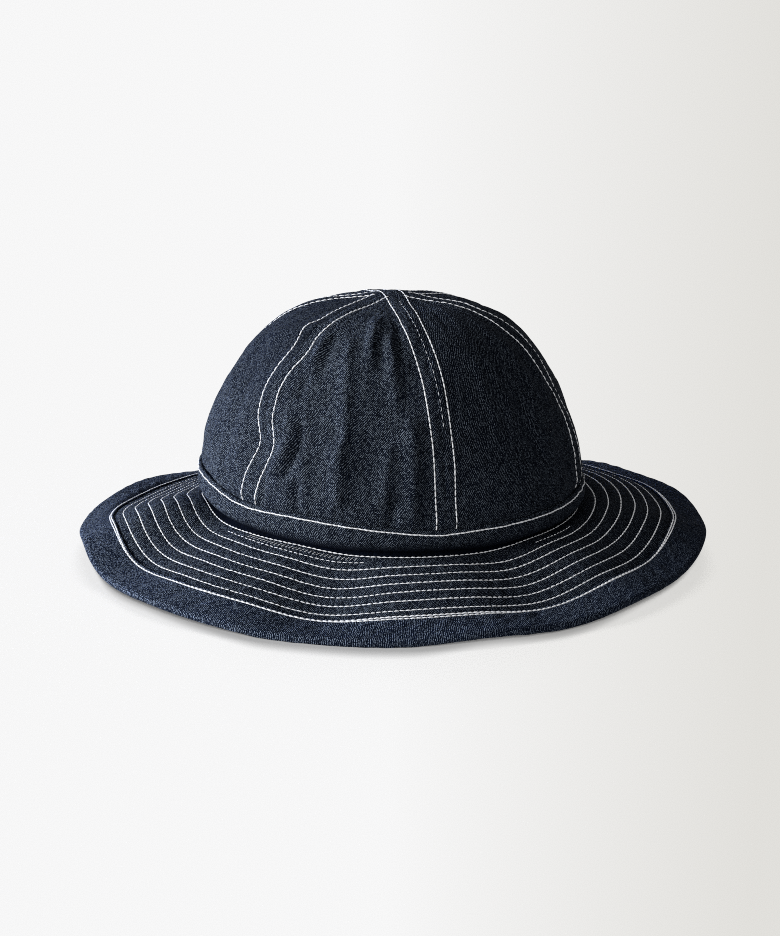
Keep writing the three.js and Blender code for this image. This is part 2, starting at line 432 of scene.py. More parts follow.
def fold_relief(azimuth, rise):
    """Height of the soft folds, measured across each fold's line on the crown."""
    total = np.zeros(np.broadcast(azimuth, rise).shape)
    size = CROWN_PROFILE[0][1] * math.pi / 180
    shrink = np.cos(np.radians(rise))
    for start_azimuth, start_rise, end_azimuth, end_rise, height, width in ALL_FOLDS:
        across = turn_from(start_azimuth, azimuth) * size * shrink
        up = (rise - start_rise) * size
        middle = math.cos(math.radians((start_rise + end_rise) / 2))
        run_across = (end_azimuth - start_azimuth) * size * middle
        run_up = (end_rise - start_rise) * size
        run = math.hypot(run_across, run_up)
        along = (across * run_across + up * run_up) / run**2
        side = (across * run_up - up * run_across) / run
        taper = smooth_step(along / FOLD_TAPER + 0.5) * smooth_step((1 - along) / FOLD_TAPER + 0.5)
        total += FOLD_FULLNESS * height * bell(side / width) * taper
    return total


def seam_relief(azimuth, rise, radius):
    """Raised seam allowances, stitch grooves and the valley along each crown seam."""
    beside_middle = radius * np.abs(np.sin(np.radians(turn_from(seam_azimuth(0, rise), azimuth))))
    lift = np.zeros(radius.shape)
    cut = np.zeros(radius.shape)
    for seam in range(PANELS):
        turn = turn_from(seam_azimuth(seam, rise), azimuth)
        beside = np.where(np.abs(turn) < 90, radius * np.abs(np.sin(np.radians(turn))), radius)
        lift = np.maximum(lift, 1 - smooth_step((beside - SEAM_STITCH) / SEAM_LIFT_FADE))
        groove = STITCH_GROOVE * bell((beside - SEAM_STITCH) / GROOVE_WIDTH)
        valley = SEAM_VALLEY * bell(beside / SEAM_VALLEY_WIDTH)
        runs_over_top = seam % (PANELS // 2) == 0
        shown = 1 if runs_over_top else smooth_step((beside_middle - SEAM_STITCH) / 1.5)
        cut = np.maximum(cut, (groove + valley) * shown)
    return SEAM_LIFT * lift - cut


def crown_relief(azimuth, rise, radius):
    """All that lifts or sinks the crown's cloth from its plain profile."""
    relief = fold_relief(azimuth, rise) + seam_relief(azimuth, rise, radius)
    for dent_azimuth, dent_rise, depth, across, along in CROWN_DENTS:
        relief -= depth * bell(turn_from(dent_azimuth, azimuth) / across) * bell((rise - dent_rise) / along)
    climb = np.radians(rise) * CROWN_PROFILE[0][1]
    uneven = CROWN_UNEVENNESS * CROWN_CRUMPLE(azimuth, climb) + CROWN_PUCKERING * CROWN_PUCKER(azimuth, climb)
    relief += smooth_step(radius / CALM_RADIUS) * uneven + TIP_LIFT * bell(radius / TIP_LIFT_RADIUS)
    above_band = climb - round_curve(BAND_RISE, azimuth)
    return relief - BASE_PINCH * (1 - smooth_step(above_band / BASE_PINCH_HEIGHT))


def crown_point(azimuth, rise, depth=0.0):
    """Points of the crown's outside, or of a layer at a depth below it."""
    azimuth, rise = np.broadcast_arrays(np.asarray(azimuth, float), np.asarray(rise, float))
    plain = curve_through(CROWN_PROFILE, rise)
    reach = plain + crown_relief(azimuth, rise, plain * np.cos(np.radians(rise))) - depth
    above = reach * np.sin(np.radians(rise))
    height = BASE_SEAM_HEIGHT + above + lean_at(azimuth, above)
    return place(azimuth, reach * np.cos(np.radians(rise)), height)


def crown_normal(azimuth, rise):
    step = 0.3
    across = crown_point(azimuth + step, rise) - crown_point(azimuth - step, rise)
    up = crown_point(azimuth, rise + step) - crown_point(azimuth, rise - step)
    normal = np.cross(across, up)
    return normal / np.linalg.norm(normal, axis=-1, keepdims=True)


# Brim surface

class BrimSheet:
    """Middle layer of the brim on a fine grid, with its normals, to be read at any place."""

    TURN = 0.5
    STEP = 0.5
    BEND = 3.0            # length over which the cloth turns onto the binding's slope
    SETTLE = 0.7          # softness of the cloth's landing on the table

    def __init__(self):
        azimuth = np.arange(0, 360, self.TURN)[:, None]
        distance = np.arange(0, BRIM_EDGE + 2, self.STEP)[None, :]
        inner, outer, binding = (brim_wave(azimuth, column) for column in (1, 2, 3))
        slope = inner + (outer - inner) * np.minimum(distance / LAST_ROW, 1)
        onto = smooth_step((distance - LAST_ROW) / (2 * self.BEND) + 0.5)
        slope = np.radians(slope + (binding - slope) * onto)
        radius = PIVOT_RADIUS + self.run(np.cos(slope))
        height = PIVOT_HEIGHT + lean_at(azimuth, 0) - self.run(np.sin(slope))
        over = height - HALF_EDGE
        height = HALF_EDGE + (over + np.sqrt(over**2 + self.SETTLE**2)) / 2
        self.points = place(azimuth, radius, height)
        along = np.roll(self.points, -1, axis=0) - np.roll(self.points, 1, axis=0)
        normal = np.cross(np.gradient(self.points, axis=1), along)
        self.normals = normal / np.linalg.norm(normal, axis=-1, keepdims=True)

    def run(self, rate):
        """Total along the cloth of a rate given at each step."""
        mean = (rate[:, 1:] + rate[:, :-1]) / 2
        return np.concatenate([np.zeros((len(rate), 1)), np.cumsum(mean, axis=1)], axis=1) * self.STEP

    def read(self, grid, azimuth, distance):
        a = np.mod(azimuth, 360) / self.TURN
        d = np.clip(distance / self.STEP, 0, grid.shape[1] - 1.001)
        a, d = np.broadcast_arrays(a, d)
        i = np.floor(a).astype(int) % len(grid)
        j = np.floor(d).astype(int)
        u = (a - np.floor(a))[..., None]
        v = (d - j)[..., None]
        k = (i + 1) % len(grid)
        near = grid[i, j] * (1 - v) + grid[i, j + 1] * v
        far = grid[k, j] * (1 - v) + grid[k, j + 1] * v
        return near * (1 - u) + far * u

    def at(self, azimuth, distance, offset=0.0):
        offset = np.asarray(offset, float)[..., None]
        return self.read(self.points, azimuth, distance) + self.read(self.normals, azimuth, distance) * offset

    def normal(self, azimuth, distance):
        return self.read(self.normals, azimuth, distance)


BRIM = BrimSheet()


def row_distance(number, azimuth):
    """Where a brim stitch row runs: evenly spaced, with a hand's wander."""
    return FIRST_ROW + number * ROW_PITCH + ROW_WANDERING * ROW_WANDER(azimuth, WANDER_APART * number)


def brim_relief(azimuth, distance):
    """Puffs between the stitch rows, grooves along them and small puckers."""
    nearest = np.round((distance - FIRST_ROW) / ROW_PITCH)
    beside = np.abs(distance - row_distance(nearest, azimuth))
    middle = np.minimum(beside / (ROW_PITCH / 2), 1)
    pucker = BRIM_PUCKER(azimuth, distance)
    puff = QUILT_PUFF * (1 - (1 - middle) ** 2) * (1 + QUILT_UNEVENNESS * pucker)
    groove = STITCH_GROOVE * bell(beside / GROOVE_WIDTH)
    inner = STITCH_GROOVE * bell((distance - round_curve(INNER_ROW, azimuth)) / GROOVE_WIDTH)
    quilted = smooth_step((distance - QUILT_START) / QUILT_FADE)
    return (puff - groove) * quilted - inner + BRIM_PUCKERING * pucker


def side_painted_light(azimuth):
    """Painted shade on the brim's side away from the lights: share of the pale flecks kept, round the hat."""
    return 1 - PAINTED_SIDE_SHADE * bell(turn_from(SIDE_AZIMUTH, azimuth) / SIDE_REACH)


def binding_hollow(azimuth, distance):
    """Share of its full depth that the binding's hollow has at a place, which also masks the painted shade in
    it.
    """
    curled = bell(turn_from(HOLLOW_AZIMUTH, azimuth) / HOLLOW_REACH)
    return curled * bell((distance - HOLLOW_CENTRE) / HOLLOW_WIDTH)


def binding_relief(azimuth, distance):
    """The binding's slanting ripples, the groove of the row that holds it and its hollow."""
    beyond = distance - LAST_ROW
    groove = BINDING_GROOVE * bell(beyond / BINDING_GROOVE_WIDTH)
    free = smooth_step(beyond / 5) * (1 - 0.6 * smooth_step((beyond - 8) / 6))
    twist = BINDING_TWIST(azimuth + BINDING_SLANT * distance, distance)
    ripple = (BINDING_PUCKERING + BINDING_RIPPLE * free) * twist
    return ripple - groove - HOLLOW_DEPTH * binding_hollow(azimuth, distance)


# Meshes

def points_outwards(points, faces):
    """Whether the faces of a closed mesh point outwards, which makes its volume positive."""
    a, b, c, d = (points[faces[:, k]] for k in range(4))
    return np.sum(a * (np.cross(b, c) + np.cross(c, d))) > 0


def cloth_object(name, points, faces, cloth, materials, face_material, painted_light=None):
    """A mesh piece with the cloth's own flat coordinates, in millimetres, as its UV map.

    Its attribute of painted light and shade is 1 where the cloth shows its pale flecks in full, and lower
    where painted shade dims them, down to the full indigo at 0.
    """
    if not points_outwards(points, faces):
        faces = faces[:, ::-1]
        cloth = cloth[:, ::-1]
    mesh = bpy.data.meshes.new(name)
    mesh.from_pydata((points * MM).tolist(), [], faces.tolist())
    layer = mesh.uv_layers.new(name="cloth")
    layer.data.foreach_set("uv", cloth.astype(np.float32).ravel())
    painted_light_values = np.ones(len(points)) if painted_light is None else painted_light.ravel()
    mesh.attributes.new("painted_light", "FLOAT", "POINT").data.foreach_set("value", painted_light_values.astype(np.float32))
    for material in materials:
        mesh.materials.append(material)
    mesh.polygons.foreach_set("material_index", np.asarray(face_material, np.int32))
    mesh.shade_smooth()
    mesh.set_sharp_from_angle(angle=math.radians(60))
    piece = bpy.data.objects.new(name, mesh)
    bpy.context.scene.collection.objects.link(piece)
    return piece


def grid_faces(rows, columns, start=0):
    i, j = np.meshgrid(np.arange(rows - 1), np.arange(columns - 1), indexing="ij")
    corner = (start + i * columns + j).ravel()
    return np.stack([corner, corner + 1, corner + columns + 1, corner + columns], axis=1)


def ring_object(name, points, cloth, materials, inside, painted_light=None):
    """A ring from sections of points, [azimuth, place]; cloth has one more row and column, to close on."""
    turns, count = points.shape[:2]
    i, j = np.meshgrid(np.arange(turns), np.arange(count), indexing="ij")
    k = (i + 1) % turns
    n = (j + 1) % count
    faces = np.stack([i * count + j, k * count + j, k * count + n, i * count + n], axis=-1).reshape(-1, 4)
    corners = np.stack([cloth[:-1, :-1], cloth[1:, :-1], cloth[1:, 1:], cloth[:-1, 1:]], axis=2)
    face_material = np.tile(np.asarray(inside, int), (turns, 1)).ravel()
    return cloth_object(
        name, points.reshape(-1, 3), faces, corners.reshape(-1, 4, 2), materials, face_material, painted_light)


def along_section(points):
    """Length along a closed section, averaged round the ring, with one more entry to close on."""
    closed = np.concatenate([points, points[:, :1]], axis=1)
    steps = np.linalg.norm(np.diff(closed, axis=1), axis=-1).mean(axis=0)
    return np.concatenate([[0], np.cumsum(steps)])


def ring_azimuths():
    return np.arange(RING_STEPS) * (360 / RING_STEPS)


def strip_cloth(points, radius):
    """Flat coordinates of a strip that runs round the hat."""
    around = np.arange(RING_STEPS + 1) * (2 * math.pi * radius / RING_STEPS)
    across = along_section(points)
    return np.stack(np.meshgrid(around, across, indexing="ij"), axis=-1)


# Cloth pieces

def panel_piece(panel, materials):
    """One crown panel: a wall of cloth, tucked in at its seams."""
    tip = 90 - math.degrees(TIP_RADIUS / CROWN_PROFILE[-1][1])
    even = np.linspace(0, 1, PANEL_ROWS)
    rise = (tip * ((1 - PANEL_ROW_GROWTH) * even + PANEL_ROW_GROWTH * even**2))[:, None]
    number = np.linspace(0, 1, PANEL_COLUMNS)
    share = (0.5 * number + 0.25 * (1 - np.cos(math.pi * number)))[None, :]
    start = seam_azimuth(panel, rise)
    end = seam_azimuth(panel + 1, rise)
    radius = curve_through(CROWN_PROFILE, rise) * np.cos(np.radians(rise))
    margin = np.degrees(np.arcsin(np.clip(PANEL_GAP / radius, 0, 0.45)))
    azimuth = start + margin + (end - start - 2 * margin) * share
    outside = crown_point(azimuth, rise)
    inside = crown_point(azimuth, rise, CROWN_WALL)
    middle = (panel + 0.5) * PANEL_ANGLE
    flat = np.stack(np.broadcast_arrays(
        np.radians(azimuth - middle) * radius, np.radians(rise) * CROWN_PROFILE[0][1]), axis=-1)
    shift = PANEL_ROWS * PANEL_COLUMNS
    outer_faces = grid_faces(PANEL_ROWS, PANEL_COLUMNS)
    inner_faces = grid_faces(PANEL_ROWS, PANEL_COLUMNS, shift)[:, ::-1]
    border = np.concatenate([
        np.arange(PANEL_COLUMNS - 1),
        np.arange(PANEL_ROWS - 1) * PANEL_COLUMNS + PANEL_COLUMNS - 1,
        (PANEL_ROWS - 1) * PANEL_COLUMNS + np.arange(PANEL_COLUMNS - 1, 0, -1),
        np.arange(PANEL_ROWS - 1, 0, -1) * PANEL_COLUMNS,
    ])
    after = np.roll(border, -1)
    edge_faces = np.stack([border, border + shift, after + shift, after], axis=1)
    points = np.concatenate([outside.reshape(-1, 3), inside.reshape(-1, 3)])
    faces = np.concatenate([outer_faces, inner_faces, edge_faces])
    cloth = np.concatenate([flat.reshape(-1, 2)] * 2)[faces]
    face_material = [0] * len(outer_faces) + [1] * len(inner_faces) + [0] * len(edge_faces)
    # painted shade, darker towards the top of the panel listed
    top_shade = PAINTED_TOP_SHADE.get(panel + 1, 0) * smooth_step((rise - PAINTED_TOP_SHADE_RISE) / PAINTED_TOP_SHADE_REACH)
    painted_light = np.broadcast_to(1 - top_shade, azimuth.shape)
    painted_light = np.stack([painted_light, np.ones(painted_light.shape)])
    return cloth_object(f"cloth_panel_{panel + 1}", points, faces, cloth, materials, face_material, painted_light)


def band_top(azimuth):
    return BASE_SEAM_HEIGHT + lean_at(azimuth, 0) + round_curve(BAND_RISE, azimuth)


def band_relief(azimuth, height, from_top):
    """The lip at the band's top and its unevenness."""
    return BAND_LIP * bell(from_top / BAND_LIP_HEIGHT) + BAND_UNEVENNESS * BAND_CRUMPLE(azimuth, height)


def band_tuck(above_foot):
    """How far the band rolls under itself at its foot."""
    return BAND_TUCK * np.clip(1 - above_foot / BAND_TUCK_HEIGHT, 0, 1) ** 2


def band_piece(materials):
    """The upright band, with a folded top edge that stands a little proud of the crown."""
    azimuth = ring_azimuths()[:, None]
    foot_radius = BAND_RADIUS - BAND_TUCK
    foot_inside = BRIM.at(azimuth, foot_radius - BAND_WALL - PIVOT_RADIUS)[..., 2] + BRIM_WALL / 2
    foot_outside = BRIM.at(azimuth, foot_radius - PIVOT_RADIUS)[..., 2] + BRIM_WALL / 2
    top = band_top(azimuth)
    up = np.linspace(0, 1, 22)[None, :]
    fold = np.radians(np.linspace(20, 160, 6))[None, :]
    down = np.linspace(1, 0, 8)[None, :]
    outer_height = foot_outside + (top - foot_outside) * up
    from_top = top - outer_height
    bulge = BAND_BULGE * 4 * up * (1 - up)
    groove = STITCH_GROOVE * bell((from_top - BAND_ROW) / GROOVE_WIDTH)
    relief = band_relief(azimuth, outer_height, from_top) - groove
    outer_radius = BAND_RADIUS + bulge + relief - band_tuck(outer_height - foot_outside)
    thick = BAND_WALL / 2
    fold_radius = outer_radius[:, -1:] - thick + thick * np.cos(fold)
    fold_height = top + BAND_FOLD_HEIGHT * np.sin(fold)
    inner_height = foot_inside + (top - foot_inside) * down
    inner_bulge = BAND_BULGE * 4 * down * (1 - down)
    inner_radius = BAND_RADIUS - BAND_WALL + inner_bulge - band_tuck(inner_height - foot_inside)
    radius = np.concatenate([outer_radius, fold_radius, inner_radius], axis=1)
    height = np.concatenate([outer_height, fold_height, inner_height], axis=1)
    points = place(azimuth, radius, height)
    inside = [0] * (up.size + fold.size) + [1] * down.size
    painted_light = np.ones(height.shape)
    # painted shade in the crevice under the band's bulge, darker towards its foot
    painted_light[:, :up.size] = smooth_step((outer_height - foot_outside - PAINTED_FOOT_SHADE) / FOOT_FADE)
    return ring_object("cloth_band", points, strip_cloth(points, BAND_RADIUS), materials, inside, painted_light)


def brim_piece(materials):
    """The stitched brim, quilted by its rows on both faces."""
    azimuth = ring_azimuths()[:, None]
    lead = np.concatenate([[BRIM_START], np.arange(3, FIRST_ROW - 0.2, 0.6)])
    rows = FIRST_ROW + np.arange(0, (STITCH_ROWS - 1) * QUILT_STEPS - 1) * (ROW_PITCH / QUILT_STEPS)
    rows = rows[rows < HEM - 0.6]
    tail = np.array([HEM - 0.2, HEM + 4, HEM + 9, HEM + 14, BRIM_END])
    distance = np.concatenate([lead, rows, tail])
    under = np.concatenate([lead[::2], rows[::2], tail])[::-1]
    layers = []
    for face, reach in ((1, distance), (-1, under)):
        in_channel = np.minimum(1, np.exp(-(reach - HEM) / CHANNEL_CALM))
        offset = BRIM_WALL / 2 + brim_relief(azimuth, reach) * in_channel
        layers.append(BRIM.at(azimuth, reach, face * offset))
    points = np.concatenate(layers, axis=1)
    spread = np.concatenate([distance, under, distance[:1]]) + PIVOT_RADIUS
    turn = np.radians(np.arange(RING_STEPS + 1) * (360 / RING_STEPS))[:, None]
    cloth = np.stack([spread * np.sin(turn), -spread * np.cos(turn)], axis=-1)
    painted_light = np.ones(points.shape[:2])
    # painted shade on the brim's strip under the band's overhang, about the inner row
    beyond = distance - round_curve(INNER_ROW, azimuth)
    painted_light[:, :distance.size] = smooth_step((beyond + PAINTED_INNER_SHADE) / INNER_FADE)
    # painted shade on the brim's side away from the lights
    painted_light *= side_painted_light(azimuth)
    return ring_object("cloth_brim", points, cloth, materials, [0] * points.shape[1], painted_light)


def binding_piece(materials):
    """The binding: a strip folded at its hems and over the brim's edge."""
    azimuth = ring_azimuths()[:, None]
    hem = BINDING_WALL / 2
    arc = np.radians(np.linspace(-90, 90, 7))
    top = np.linspace(HEM + hem, NOSE_CENTRE, 24)
    nose = np.radians(np.linspace(90, -90, 12))
    under = np.linspace(NOSE_CENTRE, HEM + hem, 16)
    channel = np.linspace(HEM + hem, CHANNEL_END, 6)
    centre = HALF_CHANNEL + hem
    stations = [
        (channel[::-1], HALF_CHANNEL, 0),
        (HEM + hem - hem * np.cos(arc), centre + hem * np.sin(arc), 1),
        (top[1:], HALF_EDGE, 1),
        (NOSE_CENTRE + HALF_EDGE * np.cos(nose[1:-1]), HALF_EDGE * np.sin(nose[1:-1]), 1),
        (under, -HALF_EDGE, -1),
        (HEM + hem - hem * np.cos(arc[1:]), -centre - hem * np.sin(arc[::-1][1:]), -1),
        (channel[1:], -HALF_CHANNEL, 0),
    ]
    columns = []
    painted_light = []
    for distance, offset, side in stations:
        relief = binding_relief(azimuth, distance) if side else 0
        lifted = relief * np.clip(offset / HALF_EDGE, -1, 1) * (1 if side > 0 else UNDERSIDE_SHARE)
        columns.append(BRIM.at(azimuth, distance, offset + lifted))
        # painted shade in the hollow beside the last row, on the binding's upper face
        hollow = binding_hollow(azimuth, distance) * (side > 0)
        # painted shade on the binding's side away from the lights
        painted_light.append((1 - hollow) * side_painted_light(azimuth))
    points = np.concatenate(columns, axis=1)
    points[..., 2] = np.maximum(points[..., 2], TABLE_GAP)
    radius = PIVOT_RADIUS + LAST_ROW + BINDING_REACH / 2
    return ring_object("cloth_binding", points, strip_cloth(points, radius), materials,
        [0] * points.shape[1], np.concatenate(painted_light, axis=1))


# Nodes

class NodeMaker:
    """Adds nodes to one tree, with values or other nodes' sockets at their inputs."""

    def __init__(self, tree):
        self.nodes = tree.nodes
        self.links = tree.links

    def join(self, value, socket):
        if isinstance(value, bpy.types.NodeSocket):
            self.links.new(value, socket)
        else:
            socket.default_value = value

    def node(self, kind, settings=(), **inputs):
        made = self.nodes.new(kind)
        for name, value in dict(settings).items():
            setattr(made, name, value)
        for name, value in inputs.items():
            self.join(value, made.inputs[name.replace("_", " ")])
        return made

    def output(self, kind, settings=(), **inputs):
        """First output of a new node."""
        return self.node(kind, settings, **inputs).outputs[0]

    def maths(self, operation, a, b=0.0, c=0.0):
        made = self.nodes.new("ShaderNodeMath")
        made.operation = operation
        for socket, value in zip(made.inputs, (a, b, c)):
            self.join(value, socket)
        return made.outputs[0]


# Stitches

def stitch_tree():
    """Stitches laid along rows: each is a bowed thread that dips into the cloth at both ends."""
    tree = bpy.data.node_groups.new("topstitch_rows", "GeometryNodeTree")
    sockets = tree.interface
    sockets.new_socket("Rows", in_out="INPUT", socket_type="NodeSocketGeometry")
    for name in ("Stitch Pitch", "Stitch Length", "Thread Width", "Bow", "Dip", "Slant"):
        sockets.new_socket(name, in_out="INPUT", socket_type="NodeSocketFloat")
    sockets.new_socket("Seed", in_out="INPUT", socket_type="NodeSocketInt")
    sockets.new_socket("Thread", in_out="INPUT", socket_type="NodeSocketMaterial")
    sockets.new_socket("Stitches", in_out="OUTPUT", socket_type="NodeSocketGeometry")
    make = NodeMaker(tree)
    given = tree.nodes.new("NodeGroupInput").outputs
    vectors = {"data_type": "FLOAT_VECTOR"}
    local = {"rotation_space": "LOCAL"}

    half = make.maths("MULTIPLY", given["Stitch Length"], 0.5)
    back = make.maths("MULTIPLY", half, -1.0)
    below = make.maths("MULTIPLY", given["Dip"], -1.0)
    crest = make.maths("MULTIPLY", given["Bow"], 2.0)
    radius = make.maths("MULTIPLY", given["Thread Width"], 0.5)
    start = make.output("ShaderNodeCombineXYZ", X=back, Z=below)
    end = make.output("ShaderNodeCombineXYZ", X=half, Z=below)
    middle = make.output("ShaderNodeCombineXYZ", Z=crest)
    path = make.output("GeometryNodeCurveQuadraticBezier", Resolution=4, Start=start, Middle=middle, End=end)
    section = make.output("GeometryNodeCurvePrimitiveCircle", Resolution=6, Radius=radius)
    thread = make.output("GeometryNodeCurveToMesh", Curve=path, Profile_Curve=section, Fill_Caps=True)

    curves = make.output("GeometryNodeMeshToCurve", Mesh=given["Rows"])
    spaced = make.output(
        "GeometryNodeResampleCurve", {"mode": "LENGTH"}, Curve=curves, Length=given["Stitch Pitch"])
    tangent = make.output("GeometryNodeInputTangent")
    cloth_normal = make.output("GeometryNodeInputNamedAttribute", vectors, Name="cloth_normal")
    forward = make.output("FunctionNodeAlignRotationToVector", {"axis": "X"}, Vector=tangent)
    upright = make.output(
        "FunctionNodeAlignRotationToVector", {"axis": "Z", "pivot_axis": "X"},
        Rotation=forward, Vector=cloth_normal)

    least_slew = tuple(-turn for turn in STITCH_SLEW)
    slew = make.output(
        "FunctionNodeRandomValue", vectors, Min=least_slew, Max=STITCH_SLEW, Seed=given["Seed"])
    slewed = make.output("FunctionNodeRotateRotation", local, Rotation=upright, Rotate_By=slew)
    next_seed = make.maths("ADD", given["Seed"], 1)
    size = make.output(
        "FunctionNodeRandomValue", vectors, Min=STITCH_LEAST, Max=STITCH_MOST, Seed=next_seed)
    slant = make.output("ShaderNodeCombineXYZ", Z=given["Slant"])
    turned = make.output("FunctionNodeRotateRotation", local, Rotation=slewed, Rotate_By=slant)
    laid = make.output(
        "GeometryNodeInstanceOnPoints", Points=spaced, Instance=thread, Rotation=turned, Scale=size)
    real = make.output("GeometryNodeRealizeInstances", Geometry=laid)
    smooth = make.output("GeometryNodeSetShadeSmooth", Geometry=real)
    finish = make.output("GeometryNodeSetMaterial", Geometry=smooth, Material=given["Thread"])
    tree.links.new(finish, tree.nodes.new("NodeGroupOutput").inputs["Stitches"])
    return tree


def stitched_piece(name, tree, thread, rows, seed, pitch, share=STITCH_SHARE, width=THREAD_WIDTH, slant=0.0):
    """Stitches along rows of (points, normals, closed), made by the tree and kept as a plain mesh."""
    points = []
    normals = []
    edges = []
    for row_points, row_normals, closed in rows:
        first = len(points)
        count = len(row_points)
        points.extend((row_points * MM).tolist())
        normals.extend(row_normals.ravel().tolist())
        edges.extend((first + k, first + k + 1) for k in range(count - 1))
        if closed:
            edges.append((first + count - 1, first))
    guide = bpy.data.meshes.new(name + "_rows")
    guide.from_pydata(points, edges, [])
    guide.attributes.new("cloth_normal", "FLOAT_VECTOR", "POINT").data.foreach_set("vector", normals)
    piece = bpy.data.objects.new(name, guide)
    bpy.context.scene.collection.objects.link(piece)
    modifier = piece.modifiers.new("stitches", "NODES")
    modifier.node_group = tree
    values = {
        "Stitch Pitch": pitch * MM,
        "Stitch Length": share * pitch * MM,
        "Thread Width": width * MM,
        "Bow": THREAD_BOW * width * MM,
        "Dip": THREAD_DIP * width * MM,
        "Slant": math.radians(slant),
        "Seed": seed,
        "Thread": thread,
    }
    for item in tree.interface.items_tree:
        if item.name in values:
            modifier[item.identifier] = values[item.name]
    shown = piece.evaluated_get(bpy.context.evaluated_depsgraph_get())
    mesh = bpy.data.meshes.new_from_object(shown)
    mesh.name = name
    piece.modifiers.clear()
    piece.data = mesh
    return piece


def crown_row(seam, side, high):
    """A row beside a crown seam, as azimuths and rises from the band up."""
    beside_seam = seam * PANEL_ANGLE + 3 * side
    covered = round_curve(BAND_RISE, beside_seam) / CROWN_PROFILE[0][1]
    rise = np.linspace(1 + math.degrees(covered), high, SEAM_ROW_STEPS)
    radius = curve_through(CROWN_PROFILE, rise) * np.cos(np.radians(rise))
    turn = np.degrees(np.arcsin(np.clip(SEAM_STITCH / radius, 0, 1)))
    return seam_azimuth(seam, rise) + side * turn, rise


def laid_on_crown(azimuth, rise):
    normal = crown_normal(azimuth, rise)
    return crown_point(azimuth, rise) + normal * THREAD_LIFT, normal, False


def crown_rows():
    """Twin rows beside every seam; those of the front and back seams run on over the top."""
    top = CROWN_PROFILE[-1][1]
    over = 90 - math.degrees(SEAM_STITCH / top)
    meet = 90 - math.degrees(SEAM_STITCH / math.sin(math.radians(PANEL_ANGLE / 2)) / top)
    across = 90 - math.degrees(2 * SEAM_STITCH / top)
    rows = []
    for side in (-1, 1):
        azimuth, rise = crown_row(0, side, over)
        back_azimuth, back_rise = crown_row(3, -side, over)
        turned = 360 if side < 0 else 0
        path_azimuth = np.concatenate([azimuth, back_azimuth[::-1] - turned])
        path_rise = np.concatenate([rise, back_rise[::-1]])
        rows.append(laid_on_crown(path_azimuth, path_rise))
    for seam in (1, 2, 4, 5):
        for side in (-1, 1):
            near_front = (seam in (1, 4)) == (side < 0)
            rows.append(laid_on_crown(*crown_row(seam, side, meet if near_front else across)))
    return rows


def brim_rows(face):
    """The brim's rows on its upper face, 1, or its underside, -1."""
    azimuth = np.arange(0, 360, ROW_TURN)
    rows = []

    def add(distance, offset):
        normal = BRIM.normal(azimuth, distance) * face
        rows.append((BRIM.at(azimuth, distance, face * (offset + THREAD_LIFT)), normal, True))

    add(round_curve(INNER_ROW, azimuth), BRIM_WALL / 2 - STITCH_GROOVE)
    for number in range(STITCH_ROWS - 1):
        distance = row_distance(number, azimuth)
        add(distance, BRIM_WALL / 2 + brim_relief(azimuth, distance))
    apart = sum(gap * bell(turn_from(at, azimuth) / reach) for at, gap, reach in DOUBLE_ROW_GAPS)
    for side in (-1, 1):
        wander = DOUBLE_ROW_WANDERING * ROW_WANDER(azimuth, 300 + 90 * side)
        distance = LAST_ROW + side * (DOUBLE_ROW + apart) / 2 + wander
        relief = binding_relief(azimuth, distance) * (1 if face > 0 else UNDERSIDE_SHARE)
        add(distance, HALF_EDGE + relief)
    return rows


def part_rows(share, spans):
    """Short rows over spans of azimuth, a share of the way out from the inner row to the part row."""
    rows = []
    for start, end in spans:
        azimuth = np.arange(start, end, ROW_TURN)
        inner = round_curve(INNER_ROW, azimuth)
        distance = inner + (PART_ROW - inner) * share
        offset = BRIM_WALL / 2 + brim_relief(azimuth, distance) + PART_ROW_LIFT
        rows.append((BRIM.at(azimuth, distance, offset), BRIM.normal(azimuth, distance), False))
    return rows


def band_rows():
    """One row round the top of the band."""
    azimuth = np.arange(0, 360, ROW_TURN)
    height = band_top(azimuth) - BAND_ROW + BAND_ROW_WANDERING * ROW_WANDER(azimuth, 55)
    radius = BAND_RADIUS + band_relief(azimuth, height, BAND_ROW) - STITCH_GROOVE + BAND_ROW_LIFT
    return [(place(azimuth, radius + THREAD_LIFT, height), place(azimuth, 1.0, 0.0), True)]


def seam_thread_rows():
    """The joining thread that shows in the upper part of the front seam."""
    rise = np.linspace(*SEAM_THREAD_RISE, 60)
    azimuth = seam_azimuth(0, rise) + SEAM_THREAD_TURN
    normal = crown_normal(azimuth + 1.5, rise)
    return [(crown_point(azimuth, rise) + normal * SEAM_THREAD_LIFT, normal, False)]


# Materials

